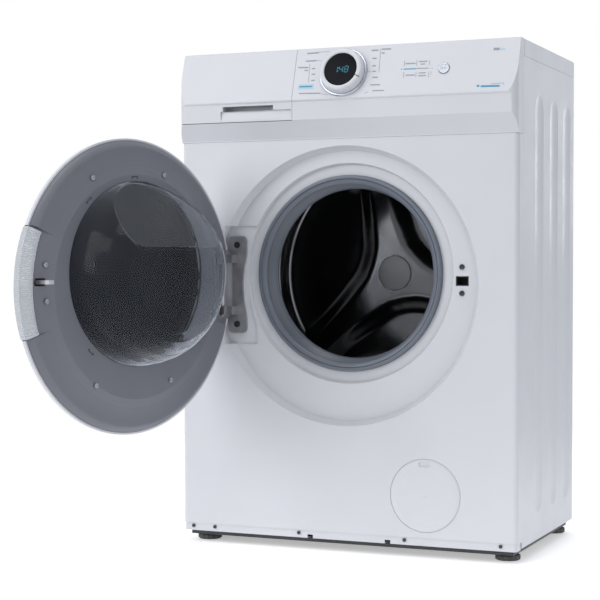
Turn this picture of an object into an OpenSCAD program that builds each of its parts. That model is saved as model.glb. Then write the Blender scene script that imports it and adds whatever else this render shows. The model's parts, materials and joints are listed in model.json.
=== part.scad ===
// Slim front loading washing machine, millimetres, +Z up, the front faces -Y.
// The origin is on the floor, midway between the side panels and midway
// between the steel front panel and the back edges of the side panels.

/* [Cabinet] */
// Width over the side panels
cab_w = 600; // [598:1:604]
// Depth from the steel front panel to the back edges of the side panels
cab_d = 366; // [366:1:372]
// Height from the floor to the worktop
cab_h = 845; // [844:1:848]
// Height of the seam between the front panel and the control fascia
seam_z = 692; // [691:1:693]
// Lower edge of the side panels
side_z = 22.5; // [22.5:0.5:23]
// Sheet metal thickness of the cabinet
sheet = 1; // [0.8:0.1:1.2]

/* [Door] */
// How far the door stands open
door_open = 106.5; // [0:0.5:110]
// Radius of the outer rim of the door
door_r = 238; // [236:0.5:238]
// Radius of the door glass where it leaves the inner frame
bowl_r = 147.3; // [146:0.1:147.5]

/* [Opening] */
// Radius of the opening in the front panel
mouth_r = 165; // [165:0.5:166]
// Height of the drum axis
drum_z = 467; // [466:0.5:468]
// Radius of the dished seat that the door closes into
seat_r = 234; // [233:0.5:235]
// Height of the centre of the dished seat
seat_z = 446; // [445.5:0.5:446.5]

/* [Wash unit] */
// Outer radius of the drum
drum_r = 228; // [226:0.5:228]
// Outer radius of the tub
tub_r = 245; // [244:0.5:245]
// Number of lifters in the drum
lifters_n = 3; // [3:1:3]

/* [Controls] */
// Backward slope of the control face
face_tilt = 16.8; // [16:0.1:17.5]
// Radius of the display in the middle of the selector
display_r = 28.4; // [28:0.1:28.6]

/* [Hidden] */

$fn = 72;
hw = cab_w / 2;
drum_x = 2;
seat_deep = 15;
ring_r = 185;
ring_deep = 22;
hinge_x = -220;
hinge_y = -8;
door_cx = -0.8 - hinge_x;
bowl_cx = drum_x - hinge_x;
latch_z = 455;
latch_u = 422;
knob_x = 1.5;
knob_z = 800;
face_y = -3.5;
button_x = 176;
filter_x = 144;
filter_z = 103;
filter_r = 60;
tray_x0 = -250;
tray_x1 = -104;
drawer_edge = -87.5;
motor_x = -20;
motor_z = 138;
pulley_r = 138;
spring_x = 272;
spring_y = 150;
dampers = [[-165, 110], [-165, 285], [165, 285]];
feet = [[-271, 47.4], [271, 47.4], [-271, 345], [271, 345]];
kick_screws = [-280, -239, -81, 108, 272];

white = [0.93, 0.94, 0.95];
grey = [0.42, 0.43, 0.46];
steel = [0.72, 0.73, 0.75];
dark = [0.12, 0.12, 0.13];
zinc = [0.6, 0.61, 0.63];
plastic = [0.55, 0.57, 0.6];

// Everything is drawn with y = 0 on the steel front panel and then set back
module place() translate([0, -cab_d / 2, 0]) children();

// A profile in radius and depth, turned about an axis along Y
module turn_y(x, z) translate([x, 0, z]) rotate([-90, 0, 0]) rotate_extrude($fn = 96) children();

// A round bar along Y
module bar_y(r, y0, y1, x, z)
    translate([x, y0, z]) rotate([-90, 0, 0]) cylinder(r = r, h = y1 - y0);

// A round bar along X
module bar_x(r, x0, x1, y, z)
    translate([x0, y, z]) rotate([0, 90, 0]) cylinder(r = r, h = x1 - x0);

// A box from its lowest to its highest corner
module box(a, b) translate(a) cube(b - a);

// A profile in y and z, drawn out along X
module along_x(x0, x1) translate([x0, 0, 0]) rotate([90, 0, 90]) linear_extrude(x1 - x0) children();

// A profile in x and z, drawn out along Y
module along_y(y0, y1) translate([0, y1, 0]) rotate([90, 0, 0]) linear_extrude(y1 - y0) children();

// A rectangle with round corners
module round_rect(w, h, r) {
    square([w - 2 * r, h], center = true);
    square([w, h - 2 * r], center = true);
    for (x = [-1, 1], y = [-1, 1])
        translate([x * (w / 2 - r), y * (h / 2 - r)]) circle(r);
}

// The vertical pressings in the side panels
rib_centres = [127, 224, 315];
rib_w = 27;
rib_deep = 2.6;
rib_r = (rib_w * rib_w + rib_deep * rib_deep) / (2 * rib_deep);

module rib_form(r, y) {
    translate([hw - rib_deep + rib_r, y, 95]) cylinder(r = r, h = 640);
    for (z = [95, 735]) translate([hw - rib_deep + rib_r, y, z]) sphere(r);
}

module side_shape() {
    difference() {
        union() {
            box([hw - sheet, 26, side_z], [hw, cab_d, 816.8]);
            box([hw - 22, 26, side_z + 10], [hw - sheet, 27, 790]);
            box([hw - 26, cab_d - 3, side_z + 20], [hw - sheet, cab_d - 2, 800]);
            box([hw - 22, 60, 815.8], [hw - sheet, 340, 816.8]);
            box([hw - 38, spring_y - 12, 797], [hw - sheet, spring_y + 12, 799]);
            box([hw - 38, spring_y - 12, 783], [hw - 36, spring_y + 12, 797]);
            intersection() {
                box([hw - 6, 60, 60], [hw - sheet, 350, 780]);
                union() for (y = rib_centres) rib_form(rib_r + sheet, y);
            }
        }
        for (y = rib_centres) rib_form(rib_r, y);
    }
}

module side_right() color(white) place() side_shape();

module side_left() color(white) place() mirror([1, 0, 0]) side_shape();

// The bent front panel seen from above: a plate with round corners and short sides
module panel_outline(inset) {
    r = 8 - inset;
    translate([-hw + 8, 8]) circle(r);
    translate([hw - 8, 8]) circle(r);
    translate([-hw + 8, inset]) square([cab_w - 16, 30]);
    translate([-hw + inset, 8]) square([cab_w - 2 * inset, 30]);
}

module panel_cone(r0, r1, y0, y1, x, z)
    translate([x, y0, z]) rotate([-90, 0, 0]) cylinder(r1 = r0, r2 = r1, h = y1 - y0, $fn = 96);

// The pocket beside the seat that the door's rim swings into; t is its wall
hinge_screws = [379.6, 515.7];

module hinge_pocket(t) intersection() {
    turn_y(-0.8, seat_z) polygon([[178, 0.5 * t], [178, 17 + t], [237 + t, 17 + t],
        [237 + t, 3 + t], [241.3 + t, 0.5 * t - 0.01 * (1 - t)]]);
    box([-260, -1, 346 - t], [-165, 20, 548 + t]);
}

module front_panel() color(white) place() difference() {
    union() {
        translate([0, 0, 33]) linear_extrude(seam_z - 33.4) difference() {
            intersection() {
                panel_outline(0);
                translate([-hw, 0]) square([cab_w, 25.8]);
            }
            panel_outline(sheet);
        }
        box([-hw + 9, sheet, seam_z - 1.4], [hw - 9, 18.5, seam_z - 0.4]);
        box([-hw + 9, sheet, 33], [hw - 9, 12, 34]);
        intersection() {
            panel_cone(seat_r + 2, seat_r - 6.5, 0, seat_deep + sheet, 0, seat_z);
            box([-hw + 9, 0, 34], [hw - 9, seat_deep + sheet, seam_z - 1.4]);
        }
        panel_cone(ring_r + 1.5, ring_r - 1.5, seat_deep, ring_deep + sheet, drum_x, drum_z);
        bar_y(filter_r + 5, sheet, 12, filter_x, filter_z);
        hinge_pocket(1);
    }
    hinge_pocket(0);
    for (z = hinge_screws) bar_y(3.1, 10, 30, -201, z);
    panel_cone(seat_r, seat_r - 8, -0.01, seat_deep, 0, seat_z);
    panel_cone(ring_r, ring_r - 3, seat_deep - 0.01, ring_deep, drum_x, drum_z);
    bar_y(mouth_r, 0, 40, drum_x, drum_z);
    bar_y(filter_r + 0.6, -1, 3, filter_x, filter_z);
    bar_y(filter_r - 4, 2, 8, filter_x, filter_z);
    bar_y(34, 6, 14, filter_x, filter_z);
    box([latch_u + hinge_x - 11, 10, latch_z - 8], [latch_u + hinge_x + 11, 20, latch_z + 8]);
}

module rear_panel() color(steel) place() difference() {
    union() {
        box([-hw + 1.1, cab_d - 1, 24], [hw - 1.1, cab_d, 812]);
        box([-hw + 50, cab_d - 12, 24], [hw - 50, cab_d - 1, 25]);
    }
    bar_y(158, cab_d - 5, cab_d + 5, drum_x, drum_z);
    bar_y(17, cab_d - 5, cab_d + 5, -180, 782);
    bar_y(13.2, cab_d - 5, cab_d + 5, 232, 640);
    bar_y(4.2, cab_d - 5, cab_d + 5, 150, 782);
    for (x = [-210, 210], z = [250, 590]) bar_y(10.2, cab_d - 5, cab_d + 5, x, z);
}

module rear_cover() color(steel) place() union() {
    turn_y(drum_x, drum_z) polygon([[0, cab_d + 7], [140, cab_d + 7], [154, cab_d + 1],
        [172, cab_d + 1], [172, cab_d], [153.6, cab_d], [139.6, cab_d + 6], [0, cab_d + 6]]);
    for (a = [30:60:330]) translate([drum_x + 165 * cos(a), 0, drum_z + 165 * sin(a)])
        bar_y(4, cab_d + 1, cab_d + 3, 0, 0);
}

module top_cover() color(white) place() difference() {
    union() {
        translate([0, 0, 817.2]) linear_extrude(cab_h - 817.2 - 2) difference() {
            translate([0, 200.5]) round_rect(cab_w, 341, 5);
        }
        translate([0, 0, cab_h - 2.2]) linear_extrude(2.2) translate([0, 200.5])
            round_rect(cab_w - 3, 338, 4);
    }
    box([-hw + 4, 34, 810], [hw - 4, 367, cab_h - 18]);
}

module base_frame() color(dark) place() difference() {
    union() {
        box([-hw + 10, 14, 12], [hw - 10, 362, 15]);
        for (x = [-hw + 10, hw - 13]) box([x, 14, 12], [x + 3, 362, 22.3]);
        box([-hw + 10, 14, 12], [hw - 10, 17, 22.3]);
        box([-hw + 10, 359, 12], [hw - 10, 362, 22.3]);
        box([-hw + 60, 150, 12], [hw - 60, 156, 22]);
        box([-hw + 60, 320, 12], [hw - 60, 326, 22]);
        for (f = feet) translate([f[0], f[1], 12]) cylinder(r = 15, h = 22);
        for (d = dampers) translate([d[0], d[1], 12]) cylinder(r = 13, h = 16);
        for (x = [filter_x - 20, filter_x + 20]) box([x - 3, 60, 15], [x + 3, 130, 70]);
    }
    for (f = feet) translate([f[0], f[1], 0]) cylinder(r = 5.05, h = 60);
    bar_y(38.1, 0, 200, filter_x, filter_z);
    bar_y(filter_r + 6, 0, 16, filter_x, filter_z);
}

module kick_strip() color(white) place() difference() {
    union() {
        translate([0, 0, 20]) linear_extrude(12.8) difference() {
            intersection() {
                panel_outline(1.5);
                translate([-hw, 0]) square([cab_w, 25.4]);
            }
            panel_outline(3);
        }
        box([-hw + 12, 3, 20], [hw - 12, 13.8, 21.5]);
    }
    for (x = [-60.6, 78.2]) box([x - 5, 0, 18], [x + 5, 20, 26]);
    for (x = kick_screws) bar_y(2.1, 0, 6, x, 28);
}

module cross_braces() color(steel) place() {
    along_x(-hw + 1.2, hw - 1.2)
        polygon([[34.2, 796], [52, 796], [52, 815.6], [50.8, 815.6], [50.8, 797.2], [34.2, 797.2]]);
    along_x(-hw + 27, hw - 27)
        polygon([[336, 796], [362, 796], [362, 797.2], [337.2, 797.2], [337.2, 815.6], [336, 815.6]]);
}

// The side view of the control fascia: sloping face, nose, upright band and undercut
fascia_face = [[13, cab_h], [9.5, 842.5], [-15.5, 760], [-16, 757], [-15.2, 755], [-14.4, 754],
    [-14, 724], [-0.2, 694], [-0.2, seam_z]];

module fascia_plan(inset) {
    r = 16 - inset;
    translate([-hw + 16, 0]) circle(r);
    translate([hw - 16, 0]) circle(r);
    translate([-hw + 16, -16 + inset]) square([cab_w - 32, 60]);
    translate([-hw + inset, 0]) square([cab_w - 2 * inset, 60]);
}

module fascia_solid(inset, back, low_back) intersection() {
    along_x(-hw, hw) polygon(concat([[back, 817.2], [back, cab_h]], fascia_face,
        [[low_back, seam_z], [low_back, 817.2]]));
    translate([0, 0, 600]) linear_extrude(300) fascia_plan(inset);
}

fascia_core = [[27, cab_h - 2.5], [14, cab_h - 2.5], [12.4, 841], [-12.8, 759], [-13.2, 757],
    [-11.8, 753], [-11.4, 725], [2.4, 695], [2.4, 690], [40, 690], [40, cab_h - 2.5]];

// Places children on the sloping control face, with +Z out of the face
module on_face(x, z) translate([x, face_y - (800 - z) * tan(face_tilt), z])
    rotate([90 - face_tilt, 0, 0]) children();

module drawer_slab(gap) box([-hw - 5, -20, 723.6 - gap], [drawer_edge + gap, 15 + gap, cab_h + 5]);

module control_fascia() color(white) place() difference() {
    union() {
        difference() {
            fascia_solid(0, 29.8, 25.6);
            difference() {
                intersection() {
                    along_x(-hw + 2.5, hw - 2.5) polygon(fascia_core);
                    translate([0, 0, 600]) linear_extrude(300) fascia_plan(2.5);
                }
                box([-hw, 16, 715], [drawer_edge + 3.5, 18.5, cab_h]);
                box([drawer_edge + 0.6, -20, 715], [drawer_edge + 3.5, 18.5, cab_h]);
                box([-hw, -20, 720.6], [drawer_edge + 3, 18.5, 723]);
            }
        }
        on_face(knob_x, knob_z) translate([0, 0, -12]) cylinder(r = 14, h = 10);
    }
    drawer_slab(0.6);
    box([tray_x0 - 3, 10, 734.5], [tray_x1 + 3, 30, 820]);
    on_face(button_x, 799) translate([0, 0, -8]) cylinder(r = 9.7, h = 20);
    on_face(knob_x, knob_z) translate([0, 0, -30]) cylinder(r = 5, h = 40);
}

module control_board() color([0.1, 0.35, 0.2]) place() {
    box([-60, 20, 725], [230, 21.6, 770]);
    box([-50, 21.6, 728], [60, 26, 766]);
    box([100, 21.6, 728], [150, 29, 766]);
    box([170, 21.6, 730], [215, 27, 764]);
}

module knob_trim() color([0.6, 0.62, 0.64]) place() on_face(knob_x, knob_z)
    rotate_extrude() polygon([[39.2, 0.02], [42, 0.02], [42, 1.6], [41, 3.6], [39.8, 4], [39.2, 4]]);

module display_disc() color([0.02, 0.02, 0.03]) place() on_face(knob_x, knob_z)
    rotate_extrude() polygon([[0, 0.02], [8, 0.02], [8, 9], [display_r, 9], [display_r, 14.6],
        [display_r - 0.8, 15.4], [0, 15.4]]);

module knob_ring() color(white) place() on_face(knob_x, knob_z)
    rotate_extrude() polygon([[29, 2], [9, 2], [9, 0.5], [38.7, 0.5], [38.7, 4.5], [37.6, 12],
        [35.5, 15.4], [33, 16.4], [30.4, 16.4], [28.9, 15.4], [28.9, 8], [9, 8], [9, 7], [29, 7]]);

module start_button() color([0.8, 0.81, 0.83]) place() on_face(button_x, 799)
    rotate_extrude() polygon([[0, -6], [9.3, -6], [9.3, 1], [8.6, 1.7], [6.4, 1.7], [5.8, 1],
        [0, 1]]);

module dispenser_housing() color(plastic) place() difference() {
    union() {
        box([tray_x0 - 3, 18.6, 727], [tray_x1 + 3, 262, 795]);
        translate([tray_x1 - 40, 210, 714]) cylinder(r = 20, h = 14);
        bar_y(9, 262, 276, tray_x0 + 40, 770);
    }
    box([tray_x0 - 0.6, 10, 730], [tray_x1 + 0.6, 259.5, 792.5]);
    translate([tray_x1 - 40, 210, 700]) cylinder(r = 17, h = 40);
    bar_y(6.5, 250, 290, tray_x0 + 40, 770);
}

module drawer_front() color(white) place() difference() {
    intersection() {
        fascia_solid(0, 15, 14.999);
        box([-hw - 5, -20, 724], [drawer_edge, 15, cab_h + 5]);
    }
    // Finger pocket that opens under the nose and runs up behind the face
    box([-216, -20, 742], [-122, 8, 750.5]);
    box([-216, -8, 742], [-122, 8, 775]);
    // Shallow scoop under the pocket
    along_x(-220, drawer_edge - 2) polygon([[-17, 744], [-10.8, 741], [-13, 728], [-17, 727]]);
    along_x(-hw + 20, drawer_edge - 20) polygon([[-6, 780], [12, 780], [12, 836], [10.7, 836]]);
}

module drawer_tray() color([0.86, 0.87, 0.89]) place() difference() {
    box([tray_x0, 15, 736], [tray_x1, 235, 788]);
    box([tray_x0 + 2.5, 18, 738.5], [tray_x0 + 62, 232, 800]);
    box([tray_x0 + 64.5, 18, 738.5], [tray_x0 + 104, 232, 800]);
    box([tray_x0 + 106.5, 18, 738.5], [tray_x1 - 2.5, 232, 800]);
}

module softener_cap() color([0.3, 0.45, 0.65]) place() difference() {
    box([tray_x0 + 64.8, 120, 776], [tray_x0 + 103.7, 231, 784]);
    box([tray_x0 + 68, 124, 770], [tray_x0 + 100, 227, 781]);
}

// The door is drawn shut, with its hinge axis at the origin, and swung open
module door_pose() place() translate([hinge_x, hinge_y, 0]) rotate([0, 0, -door_open]) children();

// The arc of the rim that the handle takes
module handle_zone(grow) translate([door_cx, 30, seat_z]) rotate([90, 0, 0]) linear_extrude(80)
    rotate(2) difference() {
        polygon([[0, 0], [320 * cos(21.5 + grow), -320 * sin(21.5 + grow)],
            [320 * cos(21.5 + grow), 320 * sin(21.5 + grow)]]);
        circle(217 - grow * 2);
    }

door_screw_spots = [[97, 170.8], [-59.2, 181.2], [194.4, 35.3], [193.3, -20.4], [96, -153.1],
    [-70.2, -153.7], [-160, 110]];

// How far in the seat of a door screw lies, on the sloping face of the inner frame
function screw_seat(s) = 2.4 + 18 * min(1, (door_r - 3.3 - norm(s)) / (door_r - 183.3));

module hinge_notch() box([-40, -9, 389], [20.5, 40, 507]);

module door_shell() color(white) door_pose() difference() {
    turn_y(door_cx, seat_z) polygon([[door_r, 2], [door_r, -4], [door_r - 6, -12],
        [door_r - 14, -20], [door_r - 25, -28], [door_r - 38, -33], [door_r - 52, -37],
        [door_r - 64, -39], [172, -39], [172, -36], [door_r - 53, -34], [door_r - 39.5, -30],
        [door_r - 27, -25.2], [door_r - 16.5, -17.6], [door_r - 9, -10], [door_r - 3, -3],
        [door_r - 3, 2]]);
    handle_zone(0.15);
    hinge_notch();
}

module door_window() color([0.05, 0.05, 0.06, 0.8]) door_pose()
    turn_y(door_cx, seat_z) polygon([[0, -41.5], [120, -41], [160, -39.5], [171.6, -38],
        [171.6, -35.9], [184, -33.8], [184, -31], [120, -36.5], [0, -37.5]]);

module door_inner_frame() color(grey) door_pose() difference() {
    union() {
        turn_y(door_cx, seat_z) polygon([[door_r - 3.3, 2], [180, 20], [60, 20], [60, 17],
            [179, 17], [226, 1.2], [226, -6], [229, -6], [229, -0.2], [door_r - 3.3, -2]]);
        for (z = [433, 463]) bar_y(6, -3, 18, 46, z);
        for (z = [latch_z - 12, latch_z + 7]) box([latch_u - 8, -12, z], [latch_u + 5, 6, z + 5]);
        box([latch_u - 14, -12, latch_z - 12], [latch_u - 8, 14.5, latch_z + 12]);
        translate([bowl_cx, 0, drum_z]) for (a = [20:60:340]) rotate([0, a, 0])
            bar_y(5, -30, 18, 163, 0);
    }
    bar_y(148, -60, 60, bowl_cx, drum_z);
    handle_zone(0.15);
    hinge_notch();
    box([latch_u - 8, -5, latch_z - 6], [latch_u + 10, 40, latch_z + 6]);
    translate([latch_u, -2, latch_z - 20]) cylinder(r = 2.05, h = 40);
    turn_y(door_cx, seat_z) polygon([[0, -60], [190, -60], [186, -30], [0, -30]]);
    // Spot faces under the screw heads
    for (s = door_screw_spots)
        bar_y(5.2, screw_seat(s), screw_seat(s) + 8, door_cx + s[0], seat_z + s[1]);
}

// The outside of the glass bowl, shrunk by t, with its sloping upper face
module bowl_form(t) difference() {
    turn_y(bowl_cx, drum_z) polygon([[0, 12], [bowl_r - t, 12], [bowl_r - t, 28],
        [bowl_r - 3.3 - t, 48], [bowl_r - 8.3 - t, 66], [bowl_r - 16.3 - t, 84],
        [bowl_r - 26.3 - t, 99], [bowl_r - 36.3 - t, 109.5], [bowl_r - 44.3 - t, 115.2 - t],
        [bowl_r - 52.3 - t, 117.5 - t], [0, 117.5 - t]]);
    translate([bowl_cx, 117, drum_z + 44]) rotate([41.5, 0, 0])
        translate([-200, -t, -60]) cube([400, 120, 320]);
}

module door_glass() color([0.75, 0.8, 0.85, 0.4]) door_pose() difference() {
    union() {
        bowl_form(0);
        turn_y(bowl_cx, drum_z) polygon([[120, 12], [157, 12], [157, 16.8], [120, 16.8]]);
        box([bowl_cx - 84, 104, drum_z + 38], [bowl_cx + 84, 119, drum_z + 43.5]);
    }
    bowl_form(4);
    bar_y(bowl_r - 4, 0, 20, bowl_cx, drum_z);
}

module door_handle() color([0.85, 0.87, 0.88, 0.6]) door_pose() intersection() {
    handle_zone(-0.15);
    difference() {
        turn_y(door_cx, seat_z) polygon([[door_r + 0.6, 4], [door_r + 0.6, -5], [door_r - 5, -13],
            [door_r - 13, -20.6], [217, -24], [214, -22], [214, 4]]);
        turn_y(door_cx, seat_z) polygon([[door_r - 4, 1], [door_r - 4, -4], [door_r - 9, -10],
            [door_r - 15, -16], [219, -18], [219, 1]]);
    }
}

module door_hinge_arm() color(zinc) door_pose() difference() {
    union() {
        translate([0, 0, 413]) cylinder(r = 6, h = 70);
        box([0, -6, 420], [58, -3, 476]);
    }
    translate([0, 0, 400]) cylinder(r = 3.05, h = 100);
}

module latch_hook() color(steel) door_pose() {
    difference() {
        translate([0, 0, latch_z - 3]) linear_extrude(6)
            polygon([[417.6, -4.4], [426, -4.4], [426, 29], [424, 35], [417, 38], [413.8, 33],
                [413.8, 30], [418.5, 30]]);
    }
    translate([latch_u, -2, latch_z - 11.5]) cylinder(r = 2, h = 23);
}

module door_screws() color(zinc) door_pose() for (s = door_screw_spots) {
    n = screw_seat(s) + 0.02;
    difference() {
        bar_y(4.2, n, n + 2, door_cx + s[0], seat_z + s[1]);
        box([door_cx + s[0] - 3, n + 1.2, seat_z + s[1] - 0.6],
            [door_cx + s[0] + 3, n + 3, seat_z + s[1] + 0.6]);
    }
}

module hinge_plate() color(zinc) place() difference() {
    union() {
        along_y(seat_deep - 3, seat_deep + 1.98) difference() {
            union() {
                translate([-197, 446]) square([26, 150], center = true);
                for (z = hinge_screws) translate([-201, z]) round_rect(34, 30, 8);
            }
            translate([-0.8, 446]) circle(190.5);
        }
        for (z = [485, 396.5]) {
            box([hinge_x + 2, hinge_y, z], [hinge_x + 18, seat_deep - 2, z + 14]);
            translate([hinge_x, hinge_y, z]) cylinder(r = 6, h = 14);
            box([hinge_x, hinge_y - 6, z], [hinge_x + 6, hinge_y + 6, z + 14]);
        }
    }
    translate([hinge_x, hinge_y, 390]) cylinder(r = 3.02, h = 120);
    for (z = hinge_screws) bar_y(3.1, 0, 30, -201, z);
}

module hinge_pin() color(steel) place() translate([hinge_x, hinge_y, 394]) {
    cylinder(r = 3, h = 106);
    translate([0, 0, 105.5]) cylinder(r = 4.6, h = 2);
}

module small_screw(x, y, z, r) difference() {
    union() {
        bar_y(r, y - 1.8, y, x, z);
        bar_y(r * 0.5, y, y + 6.6, x, z);
    }
    box([x - r * 0.7, y - 2.5, z - 0.5], [x + r * 0.7, y - 0.8, z + 0.5]);
    box([x - 0.5, y - 2.5, z - r * 0.7], [x + 0.5, y - 0.8, z + r * 0.7]);
}

module panel_screws() color(zinc) place() {
    for (z = hinge_screws) small_screw(-201, seat_deep - 3, z, 5.5);
    for (x = kick_screws) small_screw(x, 1.5, 28, 3);
}

module door_lock() color(dark) place() difference() {
    x = latch_u + hinge_x;
    union() {
        box([x - 12.5, seat_deep + 1.1, latch_z - 34], [x + 20, seat_deep + 27, latch_z + 34]);
        box([x - 10.6, seat_deep, latch_z - 7.6], [x + 10.6, seat_deep + 2, latch_z + 7.6]);
    }
    box([x - 9.4, 0, latch_z - 6.4], [x + 9.4, seat_deep + 24.5, latch_z + 6.4]);
}

module gasket() color([0.37, 0.41, 0.46]) place() turn_y(drum_x, drum_z)
    polygon([[149.5, 17], [152, 14.5], [160, 14], [164.6, 16], [164.6, 26], [174, 27.5],
        [178, 33], [174, 38.5], [165.2, 40], [165.2, 47], [153, 51.5], [152, 49.5],
        [160.4, 45], [160.4, 37.5], [172, 35.5], [174, 33], [172, 30.5], [158, 28.5],
        [152, 24], [149.5, 20]]);

// The straight tube at the tub's lowest right side that feeds the sump hose
sump_y = 110;

module tub_front() color(plastic) place() difference() {
    union() {
        turn_y(drum_x, drum_z) polygon([[165.6, 41], [170, 41], [170, 45], [tub_r, 45],
            [tub_r, 170], [tub_r + 7, 170], [tub_r + 7, 175], [tub_r - 5, 175],
            [tub_r - 5, 50], [165.6, 50]]);
        difference() {
            union() {
                translate([filter_x, sump_y, 236]) cylinder(r = 22, h = 60);
                for (x = [-1, 1]) translate([x * 244.5, spring_y, 566])
                    cube([79, 20, 12], center = true);
                box([dampers[0][0] - 12, dampers[0][1] - 10, 262],
                    [dampers[0][0] + 12, dampers[0][1] + 10, 310]);
            }
            bar_y(tub_r - 4.5, 0, 400, drum_x, drum_z);
        }
    }
    translate([filter_x, sump_y, 230]) cylinder(r = 19, h = 55);
}

module tub_rear() color(plastic) place() difference() {
    union() {
        turn_y(drum_x, drum_z) polygon([[tub_r - 5, 175.05], [tub_r + 7, 175.05],
            [tub_r + 7, 180], [tub_r, 180], [tub_r, 303], [46, 303], [46, 322], [26.02, 322],
            [26.02, 305], [20, 305], [20, 295], [31.02, 295], [31.02, 275], [46, 275],
            [46, 298], [tub_r - 5, 298]]);
        for (a = [0:30:330]) translate([drum_x, 0, drum_z]) rotate([0, a, 0])
            box([45, 302, -2.5], [tub_r - 1, 312, 2.5]);
        difference() {
            union() {
                for (d = [dampers[1], dampers[2]])
                    box([d[0] - 12, d[1] - 10, 262], [d[0] + 12, d[1] + 10, 320]);
                for (x = [motor_x - 70, motor_x + 62], y = [190, 262])
                    box([x, y, 163], [x + 8, y + 16, 260]);
            }
            bar_y(tub_r - 4.5, 0, 400, drum_x, drum_z);
        }
    }
    box([drum_x - 28, 290, 230], [drum_x + 28, 315, 239]);
}

module counterweights() color([0.6, 0.6, 0.58]) place() {
    for (s = [0, 1]) intersection() {
        turn_y(drum_x, drum_z) polygon([[203, 19.5], [243, 19.5], [246, 22.5], [246, 44.8],
            [203, 44.8]]);
        translate([drum_x, 0, drum_z]) rotate([0, s * 180, 0])
            box([-230, 0, 60], [230, 100, 300]);
    }
    difference() {
        box([100, 90, 640], [250, 270, 700]);
        bar_y(tub_r + 7.6, 0, 400, drum_x, drum_z);
    }
}

module drum() color(steel) place() {
    turn_y(drum_x, drum_z) polygon([[150, 60], [150, 56], [153.4, 54], [drum_r - 6, 54],
        [drum_r, 60], [drum_r, 256], [drum_r - 6, 262], [0, 262], [0, 261],
        [drum_r - 6.4, 261], [drum_r - 1, 255.6], [drum_r - 1, 60.4], [drum_r - 6.4, 55],
        [153.8, 55], [151, 56.8], [151, 60]]);
    for (a = [18:120:258]) translate([drum_x, 0, drum_z]) rotate([0, a, 0])
        along_y(250, 261.5) polygon([[20, 34], [30, 32], [64, 20], [100, 17], [196, 15],
            [204, 8], [204, -8], [196, -15], [100, -17], [64, -20], [30, -32], [20, -34]]);
    bar_y(36, 249, 261.5, drum_x, drum_z);
}

module lifters() color([0.8, 0.81, 0.83]) place() intersection() {
    for (i = [0:lifters_n - 1]) translate([drum_x, 0, drum_z]) rotate([0, 118 + i * 120, 0])
        along_y(84, 240) polygon([[184, 10], [180, 5], [180, -5], [184, -10], [232, -34],
            [232, 34]]);
    bar_y(drum_r - 1.02, 80, 245, drum_x, drum_z);
}

module drum_spider() color([0.66, 0.67, 0.68]) place() union() {
    bar_y(40, 262, 272, drum_x, drum_z);
    for (a = [18:120:258]) translate([drum_x, 0, drum_z]) rotate([0, a, 0])
        along_y(262, 272) polygon([[20, 26], [216, 15], [216, -15], [20, -26]]);
    bar_y(15, 270, 296, drum_x, drum_z);
    bar_y(12.5, 296, 346, drum_x, drum_z);
    bar_y(9, 346, 352, drum_x, drum_z);
}

module bearings() color([0.5, 0.51, 0.53]) place() {
    turn_y(drum_x, drum_z) polygon([[15.03, 279], [31, 279], [31, 295], [15.03, 295]]);
    turn_y(drum_x, drum_z) polygon([[12.53, 305], [26, 305], [26, 320], [12.53, 320]]);
    turn_y(drum_x, drum_z) polygon([[15.5, 275.4], [31, 275.4], [31, 278.6], [15.5, 278.6]]);
}

module drum_pulley() color([0.66, 0.67, 0.68]) place() difference() {
    turn_y(drum_x, drum_z) polygon([[12.5, 326], [24, 326], [26, 333], [pulley_r - 8, 333],
        [pulley_r - 5, 328], [pulley_r, 328], [pulley_r, 344], [pulley_r - 5, 344],
        [pulley_r - 8, 337], [26, 337], [24, 344], [12.5, 344]]);
    for (a = [0:60:300]) translate([drum_x, 0, drum_z]) rotate([0, a, 0])
        bar_y(26, 320, 350, 80, 0);
}

module belt_loop(g) hull() {
    translate([drum_x, drum_z]) circle(pulley_r + g, $fn = 96);
    translate([motor_x, motor_z]) circle(9 + g, $fn = 32);
}

module belt() color(dark) place() along_y(329, 343) difference() {
    belt_loop(4);
    belt_loop(0.5);
}

module motor() color(zinc) place() difference() {
    union() {
        bar_y(58, 170, 290, motor_x, motor_z);
        bar_y(50, 160, 306, motor_x, motor_z);
        bar_y(14, 306, 314, motor_x, motor_z);
        for (x = [motor_x - 70, motor_x + 50], y = [190, 262])
            box([x, y, 150], [x + 20, y + 16, 162.9]);
        box([motor_x - 30, 200, motor_z - 70], [motor_x + 30, 250, motor_z - 50]);
    }
    bar_y(6.05, 280, 320, motor_x, motor_z);
}

module motor_pulley() color(steel) place() union() {
    bar_y(6, 284, 330, motor_x, motor_z);
    bar_y(9, 328, 344, motor_x, motor_z);
    bar_y(11, 326, 328, motor_x, motor_z);
    bar_y(11, 344, 346, motor_x, motor_z);
}

module heater() color([0.5, 0.5, 0.52]) place() union() {
    z = drum_z - 233.4;
    for (x = [-18, 18]) bar_y(3.3, 90, 320, drum_x + x, z);
    bar_x(2.8, drum_x - 18, drum_x + 18, 98, z);
    box([drum_x - 32, 315.2, z - 10], [drum_x + 32, 319, z + 10]);
    box([drum_x - 6, 319, z - 6], [drum_x + 6, 327, z + 6]);
}

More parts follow.
